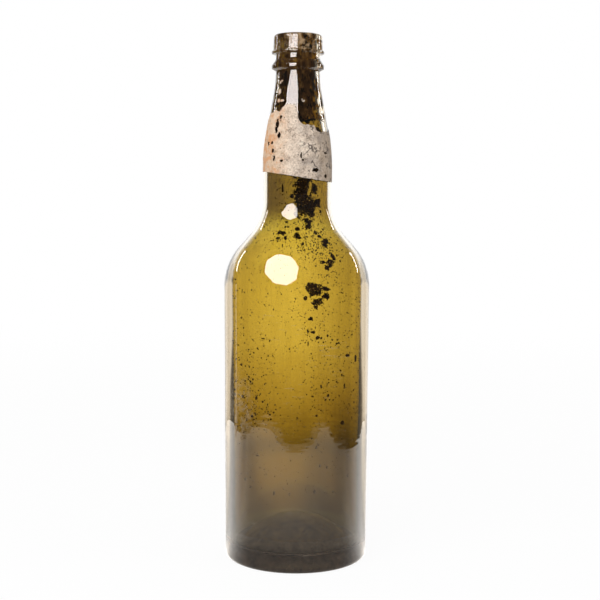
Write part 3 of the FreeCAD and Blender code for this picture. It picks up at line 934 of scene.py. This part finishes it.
def wrapFoil():
    bm = bmesh.new()
    foot = bm.verts.new((1, 0, 0))
    head = bm.verts.new((1, 0, 1))
    edge = bm.edges.new((foot, head))
    bmesh.ops.subdivide_edges(bm, edges=[edge], cuts=leadFoil["rows"] - 1)
    spinRound(bm, leadFoil["steps"])
    neck = radiusAt(outerReach, leadFoil["hem"])
    for vert in bm.verts:
        turn = math.atan2(vert.co.x, -vert.co.y)
        share = vert.co.z
        upper = tornHeight(turn)
        lower = leadFoil["hem"] - leadFoil["hemSlope"] * neck * math.sin(turn)
        lower += noise.noise(onWall(9, turn, 0)) * leadFoil["hemWave"]
        height = lower + (upper - lower) * share
        spot = onWall(leadFoil["crumpleRadius"], turn, height)
        crumple = max(0.0, noise.noise(spot * 260) + 0.6 * noise.noise(spot * 620)) * leadFoil["crumple"]
        vert.co = onWall(radiusAt(outerReach, height) + leadFoil["off"] + crumple, turn, height)
    holes = [face for face in bm.faces if inHole(face.calc_center_median())]
    bmesh.ops.delete(bm, geom=holes, context="FACES")
    softenRims(bm, bm.verts, leadFoil["rimSmoothings"])
    foil = setPiece(bm, "capsuleSkirt", foilMaterial, "bottle", "lead_foil", "capsule_skirt")
    addThickness(foil, leadFoil["thick"])


wrapFoil()


# ragged scales on a wall: a grid cut to a noisy outline of lobes, then bent onto it
wallScale = {
    "margin": 1.3,
    "off": 0.03 * mm,
    "lump": 0.25 * mm,
}


def lobeReach(lobes, across, height, radius, square):
    nearest = math.inf
    for turn, level, halfWide, halfHigh in lobes:
        wide = abs(across - math.radians(turn) * radius) / (halfWide * mm)
        high = abs(height - level * mm) / (halfHigh * mm)
        nearest = min(nearest, (wide ** square + high ** square) ** (1 / square))
    return nearest


def scaleOn(bm, reach, lobes, cell, seed, inward, windows=(), square=2.0, ragged=0.45, lace=math.inf):
    radius = radiusAt(reach, lobes[0][1] * mm)
    margin = wallScale["margin"]
    left = min(math.radians(turn) * radius - margin * wide * mm for turn, level, wide, high in lobes)
    right = max(math.radians(turn) * radius + margin * wide * mm for turn, level, wide, high in lobes)
    low = min(level - margin * high for turn, level, wide, high in lobes) * mm
    top = max(level + margin * high for turn, level, wide, high in lobes) * mm
    made = bmesh.ops.create_grid(bm, x_segments=int((right - left) / cell),
                                 y_segments=int((top - low) / cell), size=0.5)["verts"]
    bmesh.ops.translate(bm, vec=(0.5, 0.5, 0), verts=made)
    bmesh.ops.scale(bm, vec=(right - left, top - low, 1), verts=made)
    bmesh.ops.translate(bm, vec=(left, low, 0), verts=made)
    shift = Vector((seed * 3.7, seed * 1.3, seed * 2.9))
    gone = []
    for face in {face for vert in made for face in vert.link_faces}:
        middle = face.calc_center_median()
        spot = middle / mm
        rough = noise.noise(spot * 0.35 + shift) + 0.8 * noise.noise(spot * 0.9 + shift)
        rough += 0.6 * noise.noise(spot * 2.1)
        reached = lobeReach(lobes, middle.x, middle.y, radius, square)
        kept = reached + ragged * rough < 1 and noise.noise(spot * 1.7 - shift) < lace - 0.25 * reached
        if not kept or lobeReach(windows, middle.x, middle.y, radius, 2.0) + ragged * rough < 1:
            gone.append(face)
    bmesh.ops.delete(bm, geom=gone, context="FACES")
    made = [vert for vert in made if vert.is_valid]
    softenRims(bm, made, 1)
    side = -1 if inward else 1
    for vert in made:
        lump = max(0.0, noise.noise(vert.co / mm * 1.1 + shift)) * wallScale["lump"]
        seat = radiusAt(reach, vert.co.y) + side * (wallScale["off"] + lump)
        vert.co = onWall(seat, vert.co.x / radius, vert.co.y)


# foil scraps left above the tear, in lobes (turn from the front, height, half width, half height)
capsuleScraps = {
    "scraps": [
        [(-48, 261.6, 0.9, 0.7), (-42, 262.4, 0.7, 0.4)], [(-48.5, 256.6, 1.1, 1.6)],
        [(-46, 252.0, 0.8, 1.1), (-37, 251.8, 1.3, 0.6)],
        [(9.5, 252.0, 0.3, 0.7), (12, 251.2, 0.6, 0.3), (14, 251.7, 0.3, 0.5)]],
    "seed": 40,
    "cell": 0.2 * mm,
    "thick": 0.3 * mm,
}


def scatterScraps():
    bm = bmesh.new()
    for index, lobes in enumerate(capsuleScraps["scraps"]):
        scaleOn(bm, outerReach, lobes, capsuleScraps["cell"], index + capsuleScraps["seed"], False)
    bmesh.ops.recalc_face_normals(bm, faces=bm.faces)
    scraps = setPiece(bm, "capsuleScraps", foilMaterial, "bottle", "lead_foil", "capsule_scraps")
    addThickness(scraps, capsuleScraps["thick"])


scatterScraps()

# dried crust on the inside of the glass, in lobes as above
driedCrust = {
    "neck": [(9.6, 201.0, 4.2, 12.5), (23.5, 195.2, 2.6, 5.8), (20.8, 209.8, 1.8, 3.0),
             (30.8, 204.8, 1.9, 2.9), (38.6, 197.0, 1.8, 1.9)],
    "neckWindows": [(24.5, 206.0, 0.8, 2.2), (20.8, 202.4, 0.7, 1.3), (30, 201.0, 0.9, 0.9)],
    "shoulder": [
        [(14.8, 152.0, 4.1, 3.6), (11.1, 154.2, 2.4, 1.8), (24.7, 152.4, 2.4, 1.1), (24.7, 148.4, 1.9, 1.7),
         (16.7, 145.9, 3.0, 1.9), (15.8, 143.0, 1.2, 1.5), (7.4, 147.6, 1.0, 1.1)],
        [(30.5, 165.0, 2.1, 2.3), (35.1, 168.2, 1.2, 1.8), (23.7, 165.7, 1.7, 0.9), (26.6, 162.9, 1.5, 1.2)],
        [(-24.1, 180.9, 1.4, 1.1), (-18.3, 180.4, 1.3, 1.1), (-14.3, 178.2, 0.8, 1.1),
         (-23.4, 177.9, 1.1, 0.7)],
        [(-0.3, 179.6, 1.6, 1.3), (2.4, 178.4, 1.0, 0.7)], [(1.1, 183.1, 1.4, 1.0)],
        [(16.0, 187.0, 2.2, 1.4), (16.5, 184.3, 1.6, 1.6)],
        [(29.4, 178.9, 1.7, 1.1), (25.3, 180.9, 1.1, 1.1), (34.9, 176.4, 1.9, 1.4), (31.2, 174.4, 1.2, 1.1)],
        [(6.7, 175.2, 1.0, 1.0)]],
    "flecks": [
        (-27.3, 205.0, 0.5, 2.4), (44.6, 192.3, 0.6, 0.8), (30.8, 193.3, 0.5, 1.1), (-7.4, 206.2, 0.5, 0.6),
        (-10.2, 200.6, 1.1, 1.1),
        (-17.0, 186.8, 1.0, 0.5), (-17.4, 184.0, 0.7, 0.5), (-12.7, 184.0, 0.7, 0.5), (42.2, 165.9, 0.5, 0.6),
        (11.7, 136.7, 1.3, 1.0), (9.4, 130.3, 0.7, 1.1), (13.8, 129.7, 1.3, 0.8), (17.8, 126.5, 1.1, 0.9),
        (21.0, 126.3, 0.6, 0.6), (26.7, 127.4, 0.5, 0.8), (36.2, 125.0, 0.6, 0.5), (35.7, 123.1, 0.7, 0.5),
        (37.8, 123.3, 0.5, 0.5), (9.8, 123.5, 0.3, 1.3), (-28.5, 125.7, 1.0, 0.3), (-37.8, 117.7, 0.4, 0.4),
        (-43.5, 119.1, 0.4, 0.4), (-41.9, 116.8, 0.4, 0.4), (-52.4, 110.5, 0.8, 0.6), (47.6, 116.2, 1.5, 0.8),
        (58.3, 114.1, 0.5, 1.9), (39.9, 108.4, 0.5, 0.5), (41.4, 106.0, 0.4, 0.9), (-43.1, 104.3, 0.4, 0.7),
        (-41.5, 102.0, 0.4, 0.7), (-38.9, 103.5, 0.4, 0.5), (-39.3, 101.0, 0.3, 0.4), (-50.7, 93.4, 0.4, 0.9),
        (-35.3, 93.5, 0.5, 1.0), (-29.2, 91.8, 0.4, 0.6), (21.2, 100.7, 0.4, 1.4), (44.4, 100.0, 0.3, 1.4),
        (27.8, 95.6, 0.5, 0.9), (25.5, 93.4, 0.4, 0.5), (29.3, 93.2, 0.4, 0.4), (32.9, 93.0, 0.4, 0.4),
        (13.9, 95.5, 0.5, 0.5), (8.9, 96.6, 0.4, 0.4), (17.5, 85.0, 0.7, 0.6), (21.5, 87.7, 0.4, 0.4),
        (-40.1, 83.4, 0.7, 0.7), (-22.4, 85.3, 0.7, 0.4), (-21.4, 82.8, 0.5, 0.6), (0.8, 84.3, 0.4, 0.4),
        (13.7, 72.8, 0.5, 0.5), (19.3, 69.3, 0.5, 0.5), (17.4, 67.8, 0.5, 0.6), (42.9, 80.0, 1.1, 1.1),
        (-34.4, 62.5, 0.9, 0.4), (20.8, 57.9, 0.4, 0.8), (27.5, 56.7, 0.4, 0.8), (-18.7, 42.9, 0.4, 1.0),
        (-5.1, 43.3, 0.5, 0.5), (16.2, 44.0, 0.5, 1.0), (33.8, 43.0, 0.6, 0.5), (-42.4, 44.4, 0.6, 0.5),
        (-48.6, 48.0, 0.4, 0.8)],
    # fine specks: turn, height, their spreads, how many
    "drifts": [(15, 175, 14, 3, 90), (20, 170, 12, 3, 70), (0, 168, 16, 3, 60), (27, 158, 6, 4, 44),
               (15, 150, 10, 6, 60), (14, 133, 8, 5, 34), (25, 127, 10, 6, 34), (-42, 104, 5, 8, 34),
               (-38, 88, 8, 6, 44), (25, 97, 10, 6, 28), (-22, 178, 6, 3, 24), (0, 110, 40, 30, 110),
               (42, 115, 8, 10, 26), (-20, 165, 12, 6, 40),
               (-14, 198, 16, 7, 110), (2, 181, 22, 5, 130), (24, 178, 14, 5, 90), (34, 200, 10, 8, 50),
               (-32, 98, 14, 14, 110), (22, 105, 14, 14, 110), (6, 136, 24, 10, 80), (4, 48, 26, 8, 80)],
    "strewn": 1000,
    "strewnFrom": (40, 190),
    "speck": (0.07 * mm, 0.27 * mm),
    "speckSides": 9,
    "speckUneven": (0.6, 1.3),
    "speckLong": (0.7, 1.7),  # height over width
    "driftSize": (0.7, 1.4),
    "cell": 0.22 * mm,
    "ragged": 0.5,
    "lace": 0.60,  # less of it leaves more pinholes
    "thick": 0.35 * mm,
    "seed": 11,
}


def paintCrust():
    material, shade = newMaterial("driedCrust")
    place = shade.node("TexCoord", {}, {}, "Object")
    crumb = grain(place, 800, 5.0, 0.65)
    fibre = grain(place, 500, 3.0, 0.6, (0.3, 0.3, 2.0))
    colour = ramp(crumb * 0.6 + fibre * 0.4, (0.34, tone(40, 26, 16)), (0.52, tone(76, 52, 32)),
                  (0.70, tone(132, 98, 66)))
    coarseFinish(shade, colour, 0.65 + crumb * 0.3, crumb + fibre, depth=0.4 * mm, strength=0.8)
    return material


crustMaterial = paintCrust()


def speckOn(bm, turn, height, halfWide, halfHigh, draw):
    made = bmesh.ops.create_circle(bm, cap_ends=True, segments=driedCrust["speckSides"], radius=1.0)["verts"]
    radius = radiusAt(innerReach, height)
    for vert in made:
        stretch = draw.uniform(*driedCrust["speckUneven"])
        level = height + vert.co.y * stretch * halfHigh
        aside = vert.co.x * stretch * halfWide / radius
        vert.co = onWall(radiusAt(innerReach, level) - wallScale["off"], turn + aside, level)


def crustOn(name, node, patches, windows=(), square=2.0, strewn=False):
    draw = random.Random(driedCrust["seed"])
    bm = bmesh.new()
    for index, lobes in enumerate(patches):
        scaleOn(bm, innerReach, lobes, driedCrust["cell"], index, True, windows, square,
                driedCrust["ragged"], driedCrust["lace"])
    if strewn:
        for turn, height, halfWide, halfHigh in driedCrust["flecks"]:
            speckOn(bm, math.radians(turn), height * mm, halfWide * mm, halfHigh * mm, draw)
        for turn, height, turnSpread, heightSpread, count in driedCrust["drifts"]:
            for each in range(count):
                size = draw.uniform(*driedCrust["speck"]) * draw.uniform(*driedCrust["driftSize"])
                speckOn(bm, math.radians(draw.gauss(turn, turnSpread)), draw.gauss(height, heightSpread) * mm,
                        size, size * draw.uniform(*driedCrust["speckLong"]), draw)
        for each in range(driedCrust["strewn"]):
            size = draw.uniform(*driedCrust["speck"])
            speckOn(bm, draw.uniform(-math.pi, math.pi), draw.uniform(*driedCrust["strewnFrom"]) * mm,
                    size, size * draw.uniform(*driedCrust["speckLong"]), draw)
    bmesh.ops.recalc_face_normals(bm, faces=bm.faces)
    outwards = [face for face in bm.faces if face.normal.dot(Vector((*face.calc_center_median().xy, 0))) > 0]
    bmesh.ops.reverse_faces(bm, faces=outwards)
    crust = setPiece(bm, name, crustMaterial, "bottle", "dried_crust", node, sharp=60)
    addThickness(crust, driedCrust["thick"])


crustOn("neckCrust", "neck_crust", [driedCrust["neck"]], driedCrust["neckWindows"], square=5.0)
crustOn("shoulderCrust", "shoulder_crust", driedCrust["shoulder"], strewn=True)
